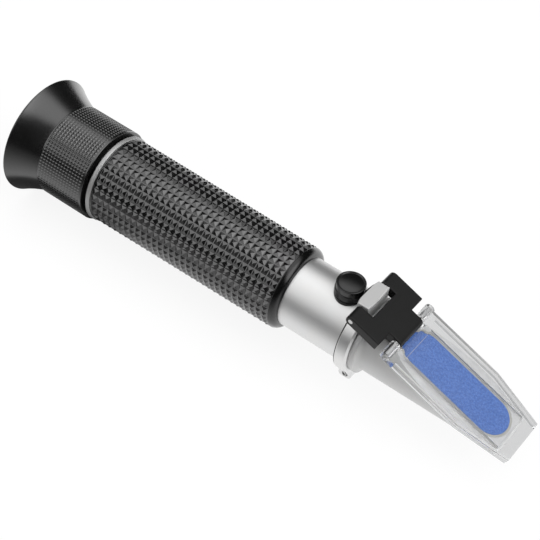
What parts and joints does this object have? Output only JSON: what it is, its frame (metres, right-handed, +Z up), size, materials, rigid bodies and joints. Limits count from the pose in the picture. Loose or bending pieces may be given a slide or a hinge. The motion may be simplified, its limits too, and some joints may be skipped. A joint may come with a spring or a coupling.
{
  "type": "handheld refractometer",
  "caption": "Handheld salinity refractometer: eyecup with focus ring, rubber-gripped barrel, calibration knob, slanted prism and hinged clear daylight plate.",
  "frame": {"origin": "middle of the length and width, on the surface that the instrument lies on: the eyecup's rim and the clamp lug rest there", "axes": "+X along the optical axis from the eyecup to the prism's tip, +Z up, on the side of the daylight plate and the calibration knob, +Y across"},
  "size_m": [0.1869, 0.0404, 0.0404],
  "materials": {
    "black_plastic": "satin",
    "glossy_black_plastic": "glossy",
    "black_metal": "black anodised",
    "grey_rubber": "matt",
    "black_rubber": "matt",
    "satin_aluminium": "satin",
    "bright_aluminium": "polished",
    "steel": "bright",
    "brass": "turned",
    "clear_glass": "polished",
    "blue_glass": "polished",
    "sealant": "matt",
    "clear_acrylic": "polished"
  },
  "bodies": {
    "instrument": {"focus_neck": "black_metal", "focus_key": "brass", "barrel": "satin_aluminium", "trim_ring": "bright_aluminium", "rubber_grip": "grey_rubber", "reticle_holder": "black_metal", "reticle_retainer": "black_metal", "reticle": "clear_glass", "light_baffle": "black_metal", "spindle_bush": "brass", "knob_gasket": "black_rubber", "barrel_seal": "black_rubber", "prism_housing": "satin_aluminium", "clamp_screw": "steel", "prism": "blue_glass", "prism_seal": "sealant", "hinge_pin": "steel"},
    "focus_carriage": {"focus_tube": "black_metal", "focus_snap_ring": "steel", "eye_lens_retainer": "black_metal", "eye_lens": "clear_glass", "lens_spacer": "black_metal", "field_lens": "clear_glass"},
    "eyepiece": {"eyecup": "black_plastic", "focus_ring": "black_plastic"},
    "bracket": {"hinge_bracket": "black_plastic", "plate_pin": "steel"},
    "plate": {"daylight_plate": "clear_acrylic"},
    "knob": {"calibration_knob": "glossy_black_plastic", "calibration_spindle": "steel"},
    "objective": {"objective_carriage": "black_metal", "objective_lens": "clear_glass", "objective_retainer": "black_metal", "bimetal_strip": "steel", "bimetal_screws": "steel"}
  },
  "joints": [
    {"name": "focus_slide", "type": "slide", "parent": "instrument", "child": "focus_carriage", "axis": [1, 0, 0], "range_m": [-0.00301, 0.0009]},
    {"name": "focus_turn", "type": "hinge", "parent": "focus_carriage", "child": "eyepiece", "pos_m": [-0.07347, 0, 0.0202], "axis": [1, 0, 0], "range_deg": [-270, 80]},
    {"name": "flap_hinge", "type": "hinge", "parent": "instrument", "child": "bracket", "pos_m": [0.03658, 0, 0.03515], "axis": [0, -1, 0], "range_deg": [0, 135]},
    {"name": "plate_float", "type": "hinge", "parent": "bracket", "child": "plate", "pos_m": [0.04979, 0, 0.03021], "axis": [0, -1, 0], "range_deg": [0, 6]},
    {"name": "calibration_turn", "type": "hinge", "parent": "instrument", "child": "knob", "pos_m": [0.02863, 0, 0.03245], "axis": [0, 0, 1], "range_deg": [-45, 45]},
    {"name": "objective_slide", "type": "slide", "parent": "instrument", "child": "objective", "axis": [1, 0, 0], "range_m": [-0.00056, 0.00056]}
  ],
  "couplings": [
    {"joint": "focus_slide", "follows": "focus_turn", "m_per_rad": 0.00063662},
    {"joint": "calibration_turn", "follows": "objective_slide", "rad_per_m": 1388}
  ]
}
